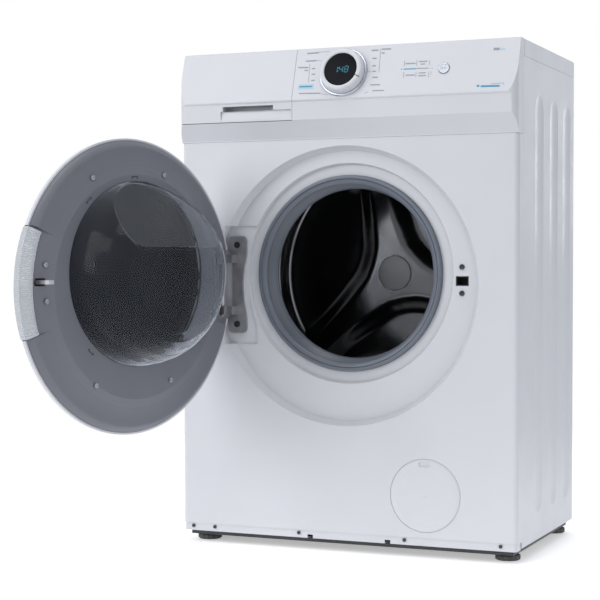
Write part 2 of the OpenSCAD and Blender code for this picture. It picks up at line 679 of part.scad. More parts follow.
// A round wire wound about a vertical axis, as one closed mesh
module coil(x, y, z0, z1, r, wire, turns) {
    per = 10;
    sides = 5;
    n = turns * per;
    pts = [for (i = [0:n], k = [0:sides - 1])
        let (a = 360 * i / per, b = 360 * k / sides, q = r + wire * cos(b))
        [x + q * cos(a), y + q * sin(a), z0 + (z1 - z0) * i / n + wire * sin(b)]];
    skin = [for (i = [0:n - 1], k = [0:sides - 1]) let (m = (k + 1) % sides)
        each [[i * sides + k, (i + 1) * sides + k, (i + 1) * sides + m],
            [i * sides + k, (i + 1) * sides + m, i * sides + m]]];
    ends = [[for (k = [0:sides - 1]) k], [for (k = [sides - 1:-1:0]) n * sides + k]];
    polyhedron(points = pts, faces = concat(skin, ends));
}

module springs() color(steel) place()
    for (x = [-spring_x, spring_x]) coil(x, spring_y, 574, 781, 9, 1.8, 14);

module damper_cylinders() color(dark) place() for (d = dampers) difference() {
    translate([d[0], d[1], 28]) cylinder(r = 13.5, h = 150);
    translate([d[0], d[1], 34]) cylinder(r = 10.5, h = 138);
    translate([d[0], d[1], 100]) cylinder(r = 5.06, h = 100);
}

module damper_rods() color(steel) place() for (d = dampers) union() {
    translate([d[0], d[1], 100]) cylinder(r = 5, h = 162);
    translate([d[0], d[1], 100]) cylinder(r = 10.1, h = 40);
}

module filter_housing() color(plastic) place() difference() {
    union() {
        bar_y(38, 14, 150, filter_x, filter_z);
        bar_y(46, 12.2, 15, filter_x, filter_z);
        translate([filter_x, sump_y, 120]) cylinder(r = 22, h = 46);
        bar_x(13, filter_x, filter_x + 62, 132, filter_z);
    }
    bar_y(30, 0, 140, filter_x, filter_z);
    translate([filter_x, sump_y, 103]) cylinder(r = 18, h = 80);
    bar_x(9, filter_x, filter_x + 70, 132, filter_z);
}

module drain_pump() color(dark) place() union() {
    bar_y(34, 150.1, 176, filter_x, filter_z);
    bar_y(26, 176, 222, filter_x, filter_z);
    box([filter_x - 22, 180, filter_z - 30], [filter_x + 22, 214, filter_z + 30]);
}

module pump_filter() color([0.25, 0.27, 0.3]) place() difference() {
    union() {
        bar_y(29.94, 11, 34, filter_x, filter_z);
        bar_y(24, 34, 96, filter_x, filter_z);
        box([filter_x - 24, 4, filter_z - 4], [filter_x + 24, 11, filter_z + 4]);
    }
    bar_y(20, 40, 100, filter_x, filter_z);
}

module filter_cover() color(white) place() difference() {
    union() {
        turn_y(filter_x, filter_z) polygon([[0, -2.6], [48, -2.2], [57, -1.2], [filter_r, 0.2],
            [filter_r, 1.6], [0, 1.6]]);
        bar_x(1.2, filter_x - 10, filter_x + 10, 0.4, 44.6);
    }
    along_y(-5, -0.4) translate([filter_x - 1, filter_z + 52]) round_rect(18, 9, 3);
}

module sump_hose() color(dark) place() translate([filter_x, sump_y, 0]) rotate_extrude()
    polygon(concat([[22.4, 150]], [[22.4, 252]], [[26, 252]],
        [for (i = [0:7]) each [[26, 238 - i * 9], [29, 233.5 - i * 9]]], [[26, 166], [26, 150]]));

drain_route = [[206, 132, 103], [252, 132, 103], [252, 350, 103], [252, 350, 640],
    [232, 350, 640]];

// A straight length of hose between two points
module pipe_between(a, b, r) {
    v = b - a;
    h = norm(v);
    translate(a) rotate([0, acos(v[2] / h), atan2(v[1], v[0])]) cylinder(r = r, h = h);
}

module drain_hose() color([0.5, 0.52, 0.54]) place() difference() {
    union() {
        for (i = [0:len(drain_route) - 2]) pipe_between(drain_route[i], drain_route[i + 1], 10);
        for (p = [drain_route[1], drain_route[2], drain_route[3]]) translate(p) sphere(11.2);
        bar_x(12.6, 206.1, 222, 132, 103);
        bar_y(11, 350, cab_d + 18, 232, 640);
        bar_y(12.8, cab_d - 3, cab_d + 4, 232, 640);
    }
    bar_y(7.5, 362, cab_d + 20, 232, 640);
}

module inlet_valve() color(white) place() difference() {
    union() {
        box([-205, 318, 762], [-155, cab_d - 1.2, 795.5]);
        bar_y(13.2, cab_d - 6, cab_d + 16, -180, 782);
        bar_y(16.5, cab_d - 3, cab_d + 3, -180, 782);
        bar_y(9, 276.2, 320, tray_x0 + 40, 770);
        box([tray_x0 + 30, 300, 762], [-180, 326, 780]);
    }
    bar_y(9, cab_d, cab_d + 20, -180, 782);
}

module dispenser_hose() color(dark) place() difference() {
    translate([tray_x1 - 40, 210, 0]) rotate_extrude() polygon([[20.3, 690], [24, 690], [27, 696],
        [24, 702], [27, 708], [24, 714], [24, 724], [20.3, 724]]);
    bar_y(tub_r + 0.5, 0, 400, drum_x, drum_z);
}

module foot(i) translate([feet[i][0], feet[i][1], 0]) union() {
    cylinder(r1 = 18.6, r2 = 19.6, h = 3);
    translate([0, 0, 3]) cylinder(r = 19.6, h = 4);
    translate([0, 0, 7]) cylinder(r1 = 19.6, r2 = 12, h = 3);
    cylinder(r = 5, h = 52);
    translate([0, 0, 46.1]) cylinder(r = 9.5, h = 5.9, $fn = 6);
}

module foot_fl() color(dark) place() foot(0);

module foot_fr() color(dark) place() foot(1);

module foot_rl() color(dark) place() foot(2);

module foot_rr() color(dark) place() foot(3);

module transit_caps() color(plastic) place() for (x = [-210, 210], z = [250, 590]) union() {
    bar_y(15, cab_d, cab_d + 3, x, z);
    bar_y(10, cab_d - 8, cab_d + 1, x, z);
}

side_left();
side_right();
front_panel();
rear_panel();
rear_cover();
top_cover();
base_frame();
kick_strip();
cross_braces();
control_fascia();
control_board();
knob_trim();
display_disc();
knob_ring();
start_button();
dispenser_housing();
drawer_front();
drawer_tray();
softener_cap();
door_shell();
door_window();
door_inner_frame();
door_glass();
door_handle();
door_hinge_arm();
latch_hook();
door_screws();
hinge_plate();
hinge_pin();
panel_screws();
door_lock();
gasket();
tub_front();
tub_rear();
counterweights();
drum();
lifters();
drum_spider();
bearings();
drum_pulley();
belt();
motor();
motor_pulley();
heater();
springs();
damper_cylinders();
damper_rods();
filter_housing();
drain_pump();
pump_filter();
filter_cover();
sump_hose();
drain_hose();
inlet_valve();
dispenser_hose();
foot_fl();
foot_fr();
foot_rl();
foot_rr();
transit_caps();
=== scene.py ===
import json
import math

import bmesh
import bpy
from mathutils import Matrix, Vector


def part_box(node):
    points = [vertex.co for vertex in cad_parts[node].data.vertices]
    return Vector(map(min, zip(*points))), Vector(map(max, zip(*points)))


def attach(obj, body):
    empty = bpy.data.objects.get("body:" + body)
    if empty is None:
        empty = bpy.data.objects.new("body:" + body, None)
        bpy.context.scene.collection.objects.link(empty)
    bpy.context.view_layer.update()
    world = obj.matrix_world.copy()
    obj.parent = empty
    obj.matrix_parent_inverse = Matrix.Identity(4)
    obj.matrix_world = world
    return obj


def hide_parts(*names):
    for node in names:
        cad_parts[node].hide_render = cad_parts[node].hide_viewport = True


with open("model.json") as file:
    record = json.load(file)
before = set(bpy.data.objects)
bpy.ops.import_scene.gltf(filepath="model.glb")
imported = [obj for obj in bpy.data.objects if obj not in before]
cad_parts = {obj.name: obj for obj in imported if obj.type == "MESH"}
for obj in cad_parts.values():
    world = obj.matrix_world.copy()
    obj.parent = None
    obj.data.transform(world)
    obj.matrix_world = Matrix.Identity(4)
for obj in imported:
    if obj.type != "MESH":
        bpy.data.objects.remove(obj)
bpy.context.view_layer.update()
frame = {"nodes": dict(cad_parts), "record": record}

MM = 0.001

# ---------------------------------------------------------------- camera
scene = bpy.context.scene
cam_data = bpy.data.cameras.new("camera")
cam = bpy.data.objects.new("camera", cam_data)
scene.collection.objects.link(cam)
cam.location = (0.9965, -2.7040, 0.4796)
cam.rotation_euler = (math.radians(88.363), math.radians(0.0), math.radians(23.095))
cam_data.lens = 97.535
cam_data.sensor_width = 36
cam_data.shift_y = 0.0207
cam_data.clip_start = 0.05
cam_data.clip_end = 60
scene.camera = cam

# ---------------------------------------------------------------- light
scene.view_settings.view_transform = "Standard"
world = bpy.data.worlds.new("studio")
scene.world = world
world.use_nodes = True
wt = world.node_tree
wt.nodes.clear()
w_out = wt.nodes.new("ShaderNodeOutputWorld")
w_mix = wt.nodes.new("ShaderNodeMixShader")
w_path = wt.nodes.new("ShaderNodeLightPath")
w_room = wt.nodes.new("ShaderNodeBackground")
w_back = wt.nodes.new("ShaderNodeBackground")
w_where = wt.nodes.new("ShaderNodeTexCoord")
w_split = wt.nodes.new("ShaderNodeSeparateXYZ")
w_side = wt.nodes.new("ShaderNodeMapRange")                # darker room in front
wt.links.new(w_where.outputs["Generated"], w_split.inputs[0])
wt.links.new(w_split.outputs["Y"], w_side.inputs["Value"])
w_side.inputs["From Min"].default_value = -0.9
w_side.inputs["From Max"].default_value = 0.2
w_side.inputs["To Min"].default_value = 0.42
w_side.inputs["To Max"].default_value = 0.66
w_room.inputs["Color"].default_value = (0.90, 0.94, 1.0, 1)
wt.links.new(w_side.outputs["Result"], w_room.inputs["Strength"])
w_back.inputs["Color"].default_value = (1, 1, 1, 1)
w_back.inputs["Strength"].default_value = 1.0
wt.links.new(w_path.outputs["Is Camera Ray"], w_mix.inputs[0])
wt.links.new(w_room.outputs[0], w_mix.inputs[1])
wt.links.new(w_back.outputs[0], w_mix.inputs[2])
wt.links.new(w_mix.outputs[0], w_out.inputs["Surface"])


def soft_light(name, place, target, size, power):
    """A rectangular lamp at a place, aimed at a target."""
    data = bpy.data.lights.new(name, "AREA")
    data.shape = "RECTANGLE"
    data.size, data.size_y = size
    data.energy = power
    obj = bpy.data.objects.new(name, data)
    obj.location = place
    aim = Vector(target) - Vector(place)
    obj.rotation_euler = aim.to_track_quat("-Z", "Y").to_euler()
    scene.collection.objects.link(obj)


soft_light("key", (-3.4, -3.8, 2.4), (0, 0, 0.45), (4.6, 4.0), 170)
soft_light("fill", (3.8, -2.6, 1.1), (0, 0, 0.40), (3.4, 3.4), 26)
soft_light("top", (0.0, -1.2, 3.4), (0, 0, 0.4), (1.0, 3.0), 30)
soft_light("back", (-0.4, 3.6, 1.8), (0, 0, 0.4), (3.0, 2.6), 52)


# ---------------------------------------------------------------- materials
class Tree:
    """A material's nodes, with a few short ways to add to them."""

    def __init__(self, name):
        self.material = bpy.data.materials.new(name)
        self.material.use_nodes = True
        self.nodes = self.material.node_tree.nodes
        self.links = self.material.node_tree.links
        self.nodes.clear()
        self.out = self.add("OutputMaterial")
        self.shader = self.add("BsdfPrincipled")
        self.links.new(self.shader.outputs[0], self.out.inputs["Surface"])
        self.where = self.add("TexCoord").outputs["Object"]

    def add(self, kind):
        return self.nodes.new("ShaderNode" + kind)

    def put(self, value, socket):
        """Link another node's output to a socket, or set the socket to a plain value."""
        if hasattr(value, "links"):
            self.links.new(value, socket)
        else:
            socket.default_value = value

    def math(self, how, a, b=0.0, c=0.0):
        n = self.add("Math")
        n.operation = how
        for value, socket in zip((a, b, c), n.inputs):
            self.put(value, socket)
        return n.outputs[0]

    def vector(self, how, a, b=(0, 0, 0)):
        n = self.add("VectorMath")
        n.operation = how
        self.put(a, n.inputs[0])
        self.put(b, n.inputs[1])
        return n.outputs["Value" if how == "LENGTH" else "Vector"]

    def noise(self, scale, detail=3.0, stretch=None):
        n = self.add("TexNoise")
        n.inputs["Scale"].default_value = scale
        n.inputs["Detail"].default_value = detail
        at = self.where
        if stretch:
            at = self.vector("MULTIPLY", at, stretch)
        self.links.new(at, n.inputs["Vector"])
        return n.outputs["Fac"]

    def ramp(self, value, low, high, to_low=0.0, to_high=1.0):
        n = self.add("MapRange")
        self.put(value, n.inputs["Value"])
        n.inputs["From Min"].default_value = low
        n.inputs["From Max"].default_value = high
        n.inputs["To Min"].default_value = to_low
        n.inputs["To Max"].default_value = to_high
        return n.outputs["Result"]

    def mix(self, fac, a, b):
        n = self.add("Mix")
        n.data_type = "RGBA"
        self.put(fac, n.inputs[0])
        self.put(a, n.inputs[6])
        self.put(b, n.inputs[7])
        return n.outputs[2]

    def bump(self, height, distance, strength):
        n = self.add("Bump")
        n.inputs["Distance"].default_value = distance
        n.inputs["Strength"].default_value = strength
        self.put(height, n.inputs["Height"])
        self.links.new(n.outputs[0], self.shader.inputs["Normal"])

    def set(self, **sockets):
        """Fill the main shader's sockets, named with _ for each space."""
        for key, value in sockets.items():
            self.put(value, self.shader.inputs[key.replace("_", " ")])


def shade(color, factor):
    """A colour made darker or lighter, with its alpha."""
    return tuple(min(1.0, c * factor) for c in color[:3]) + (1,)


def surface(name, color, rough, metal=0.0, tint=0.04, tint_scale=9.0, vary=0.05,
            grain=700.0, depth=0.00002, strength=0.35, stretch=None, coat=0.0,
            crevice_shade=0.0, crevice_shade_reach=0.006, speckle=0.0, level=0.5):
    """A moulded, painted or metal surface with uneven colour, gloss, a fine grain, and painted
    shade darkening its creases.
    """
    t = Tree(name)
    base = tuple(color) + (1,)
    tone = t.mix(t.ramp(t.noise(tint_scale, 4.0), 0.32, 0.68), shade(base, 1 - tint),
                 shade(base, 1 + tint))
    fine = t.noise(grain, 3.0, stretch)
    if speckle:
        spots = t.ramp(t.noise(grain * 1.7, 2.0), 0.60, 0.72)
        tone = t.mix(t.math("MULTIPLY", spots, speckle), tone, shade(base, 0.45))
    # Painted shade: the colour darkens towards a dark copy of itself in creases, seams and
    # recesses, wherever ambient occlusion finds shade
    if crevice_shade:
        ao = t.add("AmbientOcclusion")
        ao.samples = 4
        ao.inputs["Distance"].default_value = crevice_shade_reach
        crevice_shade_mask = t.ramp(ao.outputs["AO"], 0.25, 0.95, crevice_shade, 0.0)
        tone = t.mix(crevice_shade_mask, tone, shade(base, 0.42))
    t.set(Base_Color=tone, Metallic=metal)
    t.set(Roughness=t.ramp(t.noise(tint_scale * 3.1, 3.0), 0.3, 0.7, rough - vary,
                           rough + vary))
    t.shader.inputs["Specular IOR Level"].default_value = level
    if coat:
        t.shader.inputs["Coat Weight"].default_value = coat
        t.shader.inputs["Coat Roughness"].default_value = 0.12
    t.bump(fine, depth, strength)
    return t.material


def glassy(name, color, ior, haze):
    """Clear glass: faint waviness and smears, and a pale haze towards its silhouettes."""
    t = Tree(name)
    t.set(Base_Color=t.mix(t.ramp(t.noise(14.0), 0.3, 0.7), tuple(color) + (1,),
                           shade(color, 0.95)))
    t.set(Roughness=t.ramp(t.noise(7.0, 2.0), 0.35, 0.75, 0.0, 0.02))
    t.shader.inputs["Transmission Weight"].default_value = 1.0
    t.shader.inputs["Specular IOR Level"].default_value = 0.35
    t.shader.inputs["IOR"].default_value = ior
    t.bump(t.noise(6.0, 1.0), 0.00006, 0.2)
    film = t.add("BsdfDiffuse")
    film.inputs["Color"].default_value = (0.72, 0.76, 0.84, 1)
    edge = t.add("LayerWeight")
    edge.inputs["Blend"].default_value = 0.35
    smear = t.ramp(t.noise(4.0, 1.0), 0.3, 0.8, 0.010, 0.016)
    amount = t.math("MULTIPLY_ADD", t.math("POWER", edge.outputs["Facing"], 3.6), haze, smear)
    join = t.add("MixShader")
    t.links.new(amount, join.inputs[0])
    t.links.new(t.shader.outputs[0], join.inputs[1])
    t.links.new(film.outputs[0], join.inputs[2])
    t.links.new(join.outputs[0], t.out.inputs["Surface"])
    return t.material


def milky(name, color, rough):
    """Clear moulded plastic thick enough to look frosted."""
    t = Tree(name)
    cloud = t.ramp(t.noise(40.0, 3.0), 0.3, 0.7)
    t.set(Base_Color=t.mix(cloud, tuple(color) + (1,), shade(color, 0.93)))
    t.set(Roughness=t.ramp(t.noise(70.0, 3.0), 0.35, 0.75, rough, rough + 0.08))
    t.shader.inputs["Transmission Weight"].default_value = 0.3
    t.shader.inputs["IOR"].default_value = 1.46
    t.bump(t.noise(900.0, 2.0), 0.00002, 0.3)
    return t.material


MATERIALS = {
    "body_white": surface("paint_white", (0.590, 0.598, 0.632), 0.36, tint=0.012, grain=520,
                          depth=0.00004, strength=0.22, coat=0.08, crevice_shade=0.3),
    "white_plastic": surface("plastic_white", (0.595, 0.602, 0.638), 0.40, tint=0.012,
                             grain=1500, depth=0.00002, strength=0.3, crevice_shade=0.2),
    "clear_plastic": milky("plastic_clear", (0.70, 0.72, 0.76), 0.16),
    "galvanised": surface("steel_galvanised", (0.52, 0.53, 0.55), 0.42, metal=0.85,
                          tint=0.16, tint_scale=55, grain=240, depth=0.00003, crevice_shade=0.3),
    "black_plastic": surface("plastic_black", (0.030, 0.031, 0.034), 0.48, tint=0.15,
                             grain=2200, depth=0.00003, strength=0.5),
    "door_grey": surface("plastic_grey", (0.150, 0.156, 0.182), 0.40, tint=0.04,
                         grain=1900, depth=0.00003, strength=0.4, crevice_shade=0.4,
                         crevice_shade_reach=0.004, speckle=0.12),
    "glass_bowl": glassy("glass_bowl", (0.95, 0.97, 0.98), ior=1.13, haze=0.95),
    "dark_window": surface("window_smoked", (0.012, 0.0125, 0.017), 0.30, tint=0.1,
                           grain=500, depth=0.0000003, strength=0.05, vary=0.03, level=0.06),
    "zinc": surface("steel_zinc", (0.42, 0.42, 0.44), 0.36, metal=0.85, tint=0.12,
                    tint_scale=60, grain=900, depth=0.00002, stretch=(1, 1, 0.1)),
    "chrome_trim": surface("trim_satin", (0.50, 0.53, 0.58), 0.30, metal=0.9, tint=0.05,
                           grain=1800, depth=0.00001),
    "display_black": surface("display_black", (0.003, 0.004, 0.006), 0.10, tint=0.2,
                             grain=200, depth=0.00001, strength=0.1, vary=0.02, level=0.06),
    "tray_plastic": surface("plastic_tray", (0.60, 0.61, 0.63), 0.35, tint=0.03,
                            grain=1200, depth=0.00002, crevice_shade=0.3),
    "blue_plastic": surface("plastic_blue", (0.05, 0.16, 0.36), 0.35, tint=0.06,
                            grain=1200, depth=0.00002),
    "tub_plastic": surface("plastic_tub", (0.30, 0.31, 0.33), 0.5, tint=0.06, grain=900,
                           depth=0.00005, speckle=0.3, crevice_shade=0.4),
    "concrete": surface("concrete", (0.42, 0.42, 0.40), 0.85, tint=0.18, tint_scale=40,
                        grain=300, depth=0.0006, strength=0.8, speckle=0.5),
    # The drum's steel is given a far darker colour than real stainless: painted shade, standing
    # in for the dark reflections inside the drum
    "stainless": surface("steel_drum_painted_shade", (0.175, 0.175, 0.183), 0.17, metal=1.0, tint=0.08,
                         tint_scale=12, grain=60, depth=0.0000012, strength=0.1, vary=0.02),
    "cast_alu": surface("aluminium_cast", (0.50, 0.51, 0.52), 0.5, metal=0.9, tint=0.1,
                        tint_scale=45, grain=420, depth=0.0002, strength=0.6),
    "bearing_steel": surface("steel_turned", (0.46, 0.46, 0.48), 0.28, metal=1.0,
                             tint=0.1, tint_scale=40, grain=1400, depth=0.00001,
                             stretch=(1, 1, 6)),
    "rubber_grey": surface("rubber_grey", (0.128, 0.145, 0.178), 0.36, tint=0.06,
                           grain=700, depth=0.00006, strength=0.4, crevice_shade=0.4,
                           crevice_shade_reach=0.005),
    "rubber_black": surface("rubber_black", (0.055, 0.054, 0.052), 0.5, tint=0.2,
                            grain=900, depth=0.00008, strength=0.5),
    "motor_metal": surface("motor_steel", (0.36, 0.36, 0.37), 0.38, metal=0.9, tint=0.12,
                           tint_scale=50, grain=700, depth=0.00003, stretch=(1, 0.05, 1)),
    "board_green": surface("board_green", (0.02, 0.12, 0.06), 0.4, tint=0.2,
                           tint_scale=120, grain=500, depth=0.00006, speckle=0.6),
    "screw_dark": surface("screw_dark", (0.075, 0.075, 0.08), 0.35, metal=0.85, tint=0.15,
                          tint_scale=80, grain=900, depth=0.00002),
    "hub_grey": surface("hub_grey", (0.27, 0.272, 0.285), 0.42, metal=0.5, tint=0.05,
                        grain=900, depth=0.00002),
    "print_grey": surface("print_grey", (0.28, 0.295, 0.33), 0.5, tint=0.05, grain=3000),
    "print_teal": surface("print_teal", (0.035, 0.28, 0.45), 0.5, tint=0.05, grain=3000),
    "print_pale": surface("print_pale", (0.42, 0.56, 0.66), 0.5, tint=0.03, grain=3000),
    "print_black": surface("print_black", (0.02, 0.022, 0.026), 0.4, tint=0.1, grain=3000),
    "heater_steel": surface("heater_steel", (0.30, 0.27, 0.24), 0.4, metal=1.0, tint=0.2,
                            tint_scale=60, grain=600, depth=0.00004),
}

# Nodes that take another material than their slot's name says
DARKER = {"panel_screws": "screw_dark", "door_screws": "bearing_steel", "hinge_pin": "zinc",
          "latch_hook": "zinc"}
for name, node in frame["nodes"].items():
    for slot in node.material_slots:
        slot_name = slot.material.name.split(".")[0]
        slot.material = MATERIALS[DARKER.get(name, slot_name)]

# ---------------------------------------------------------------- where things are
BODIES = frame["record"]["behaviour"]["bodies"]
JOINTS = {j["name"]: j for j in frame["record"]["behaviour"]["joints"]}
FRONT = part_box("front_panel")[0].y / MM                    # the steel front panel's plane
DRUM_X = (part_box("gasket")[0].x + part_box("gasket")[1].x) / 2 / MM
DRUM_Z = (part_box("gasket")[0].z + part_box("gasket")[1].z) / 2 / MM
HINGE = Vector(JOINTS["door_hinge"]["pos_m"]) / MM
DOOR_TURN = math.radians(JOINTS["door_hinge"]["range_deg"][1])
DOOR = Matrix.Translation(HINGE * MM) @ Matrix.Rotation(-DOOR_TURN, 4, "Z")
RING_U, RING_Z = 219.2, HINGE.z                            # the door's round rim
BOWL_U = DRUM_X - HINGE.x                                  # the glass bowl's axis
KNOB = Vector(JOINTS["selector_turn"]["pos_m"])
TILT = math.atan2(KNOB.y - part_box("control_fascia")[0].y, KNOB.z)
FACE_OUT = Vector(JOINTS["selector_turn"]["axis"]).normalized()
FACE_UP = FACE_OUT.cross(Vector((1, 0, 0)))
FACE = Matrix((Vector((1, 0, 0)), FACE_UP, FACE_OUT)).transposed().to_4x4()
FACE.translation = KNOB


def part(x, y, z):
    """A point in millimetres, with y counted back from the front panel, in the frame."""
    return Vector((x, y + FRONT, z)) * MM


def door_at(u, n, z):
    """A point on the door: u from the hinge to the handle, n towards the drum, z up."""
    return DOOR @ (Vector((u, n, z - HINGE.z)) * MM)


def face_at(x, up, out):
    """A point on the sloping control face, in millimetres from the selector's axis."""
    return FACE @ (Vector((x, up, out)) * MM)


def make(name, points, faces, material, body, smooth=True, hides=()):
    """A piece from points and faces, riding on a body; it may hide CAD nodes."""
    mesh = bpy.data.meshes.new(name)
    mesh.from_pydata([tuple(p) for p in points], [], faces)
    mesh.validate()
    bm = bmesh.new()
    bm.from_mesh(mesh)
    bmesh.ops.remove_doubles(bm, verts=bm.verts, dist=1e-6)
    bmesh.ops.recalc_face_normals(bm, faces=bm.faces)
    bm.to_mesh(mesh)
    bm.free()
    if smooth:
        mesh.shade_smooth()
    mesh.materials.append(material)
    obj = bpy.data.objects.new(name, mesh)
    scene.collection.objects.link(obj)
    if smooth:
        split = obj.modifiers.new("split", "EDGE_SPLIT")
        split.split_angle = math.radians(38)
    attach(obj, body)
    if hides:
        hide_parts(*hides)


def ring_faces(rows, count):
    """Quads over rows of points, each row a ring of `count` points."""
    faces = []
    for i in range(rows - 1):
        for k in range(count):
            m = (k + 1) % count
            faces.append((i * count + k, i * count + m, (i + 1) * count + m,
                          (i + 1) * count + k))
    return faces


def tube_faces(rows, count, base=0):
    """Faces of a tube of rows, closed at both ends; base is its first point's number."""
    faces = ring_faces(rows, count)
    faces.append(tuple(range(count))[::-1])
    faces.append(tuple((rows - 1) * count + k for k in range(count)))
    return shifted(faces, base)


def shifted(faces, base):
    return [tuple(base + i for i in face) for face in faces]


def lathe(profile, place, count):
    """A closed (radius, depth) profile turned into a ring; place(r, a, d) gives points."""
    points = [place(r, 2 * math.pi * k / count, d)
              for r, d in profile for k in range(count)]
    faces = ring_faces(len(profile), count)
    last = (len(profile) - 1) * count
    for k in range(count):
        m = (k + 1) % count
        faces.append((last + k, last + m, m, k))
    return points, faces


def on_drum(r, a, y):
    """A point at radius r and angle a round the drum's axis, y back from the front."""
    return part(DRUM_X + r * math.cos(a), y, DRUM_Z + r * math.sin(a))


def bars(cells, at, thick, lift=0.06):
    """Thin raised prints: each cell is a polygon of (x, up) points that `at` puts in place."""
    points, faces = [], []
    for cell in cells:
        n, base = len(cell), len(points)
        points += [at(x, up, lift) for x, up in cell]
        points += [at(x, up, lift + thick) for x, up in cell]
        faces.append(tuple(base + i for i in range(n))[::-1])
        faces.append(tuple(base + n + i for i in range(n)))
        faces += [(base + i, base + (i + 1) % n, base + n + (i + 1) % n, base + n + i)
                  for i in range(n)]
    return points, faces


def strip(x0, y0, x1, y1, w):
    """A straight print from one point to another, w wide, with clipped corners."""
    d = Vector((x1 - x0, y1 - y0))
    d.normalize()
    q = Vector((-d.y, d.x)) * (w / 2)
    c = d * min(w * 0.3, 0.4)
    a, b = Vector((x0, y0)), Vector((x1, y1))
    return [tuple(v) for v in (a - q + c, b - q - c, b - q * 0.4, b + q * 0.4, b + q - c,
                               a + q + c, a + q * 0.4, a - q * 0.4)]


# ---------------------------------------------------------------- the drum
# Radii are from the drum's axis and y counts back from the front panel, in millimetres
WALL_R = 226.6                                             # the drum's round wall
WALL_FRONT, WALL_BACK = 61, 239.4                          # the wall's ends
BACK_Y = 260.6                                             # the rear wall between the arms
STAR_Y = 248.0                                             # the face of the star's arms
CORNER_Y = 240.0                                           # where the two walls meet
BEND_R = 203                                               # where the rear wall turns forward
HUB_R = 36.0                                               # the star's round middle
SIDE_WIDTH, SIDE_EXTRA = 30.0, 14.0                        # an arm's sloping side, wider inside
WIDE_R, NARROWING = 60, 110                                # it narrows from here, over this
STAR = [math.radians(a) for a in (102, 222, 342)]
ARM_W = [(0, 44), (20, 38), (34, 31), (48, 24), (64, 20), (100, 17), (205, 15)]


def arm_width(t):
    """Half the width of an arm's flat face, at a distance t from the axis."""
    for (t0, w0), (t1, w1) in zip(ARM_W, ARM_W[1:]):
        if t <= t1:
            return w0 + (w1 - w0) * (t - t0) / (t1 - t0)
    return ARM_W[-1][1]


def ease(v):
    """A smooth step from 0 to 1."""
    v = min(1.0, max(0.0, v))
    return v * v * (3 - 2 * v)


def back_height(r, a):
    """How far back the drum's rear wall lies: a star of three arms stands proud of it."""
    x, z = r * math.cos(a), r * math.sin(a)
    gap = r - HUB_R
    for d in STAR:
        along = x * math.cos(d) + z * math.sin(d)
        if along > 0:
            gap = min(gap, abs(z * math.cos(d) - x * math.sin(d)) - arm_width(along))
    slope = SIDE_WIDTH + SIDE_EXTRA * ease(1 - (r - WIDE_R) / NARROWING)
    y = STAR_Y + (BACK_Y - STAR_Y) * ease((gap + 3) / slope)
    rim = ease((r - BEND_R) / (WALL_R - BEND_R))
    return y - rim * (y - CORNER_Y) * rim


# The perforated wall: a grid of cells, every second one with a hole pressed outwards
AROUND = 168
ALONG = 22
HOLE_R = 0.2                                               # in cells
LIP_OUT, BURR_OUT = 0.25, 1.1
CORNERS = 8
EDGE = [(0.5, 0.0), (0.5, 0.5), (0.0, 0.5), (-0.5, 0.5), (-0.5, 0.0), (-0.5, -0.5),
        (0.0, -0.5), (0.5, -0.5)]
HOLE = [(HOLE_R * math.cos(math.pi * k / 4), HOLE_R * math.sin(math.pi * k / 4))
        for k in range(CORNERS)]
points, faces = [], []
index = {}


def wall_point(c, row, out=0.0):
    """The number of the point at a place in the grid; neighbouring cells share it."""
    key = (round(c % AROUND, 4), round(row, 4), out)
    if key not in index:
        index[key] = len(points)
        points.append(on_drum(WALL_R + out, 2 * math.pi * c / AROUND,
                              WALL_FRONT + (WALL_BACK - WALL_FRONT) * row / ALONG))
    return index[key]


for c in range(AROUND):
    for row in range(ALONG):
        mid = (c + 0.5, row + 0.5)
        rim = [wall_point(mid[0] + x, mid[1] + y) for x, y in EDGE]
        if (c + row) % 2 and 0 < row < ALONG - 1:
            lip = [wall_point(mid[0] + x, mid[1] + y, LIP_OUT) for x, y in HOLE]
            low = [wall_point(mid[0] + x * 0.8, mid[1] + y * 0.8, BURR_OUT)
                   for x, y in HOLE]
            for k in range(CORNERS):
                m = (k + 1) % CORNERS
                faces.append((rim[k], rim[m], lip[m], lip[k]))
                faces.append((lip[k], lip[m], low[m], low[k]))
        else:
            faces.append(tuple(rim))
make("drum_wall", points, faces, MATERIALS["stainless"], "drum")

# The pressed rear wall
TURNS = 192
STEPS = 68
radii = [WALL_R * (k / STEPS) ** 0.9 for k in range(1, STEPS + 1)]
points = [on_drum(r, 2 * math.pi * k / TURNS, back_height(r, 2 * math.pi * k / TURNS))
          for r in radii for k in range(TURNS)]
faces = ring_faces(len(radii), TURNS)
points.append(on_drum(0, 0, STAR_Y))
faces += [(len(points) - 1, k, (k + 1) % TURNS) for k in range(TURNS)]
make("drum_back", points, faces, MATERIALS["stainless"], "drum")

# The rolled front and its lip
rim_profile = [(WALL_R, 61.5), (WALL_R - 0.8, 58.2), (WALL_R - 3, 55.8), (WALL_R - 6, 55.0),
               (190, 55.0), (186, 56.2), (178, 56.2), (174, 55.2), (160, 56.4), (153, 57.8),
               (149.4, 59.4), (147.6, 61.6), (147.4, 64.2), (148.8, 66.2), (151, 65.8),
               (152, 63.6), (154, 61), (159, 58.8), (174, 57.4), (WALL_R - 5.6, 57.0),
               (WALL_R - 2.6, 58.6)]
points, faces = lathe(rim_profile, on_drum, 144)
make("drum_rim", points, faces, MATERIALS["stainless"], "drum",
     hides=("drum",))

cap_profile = [(0.01, STAR_Y - 2.4), (28, STAR_Y - 2.4), (30.6, STAR_Y - 2.0),
               (31.6, STAR_Y - 0.8), (31.8, STAR_Y + 0.6), (0.01, STAR_Y + 0.6)]
points, faces = lathe(cap_profile, on_drum, 96)
make("drum_hub_cap", points, faces, MATERIALS["hub_grey"], "drum")

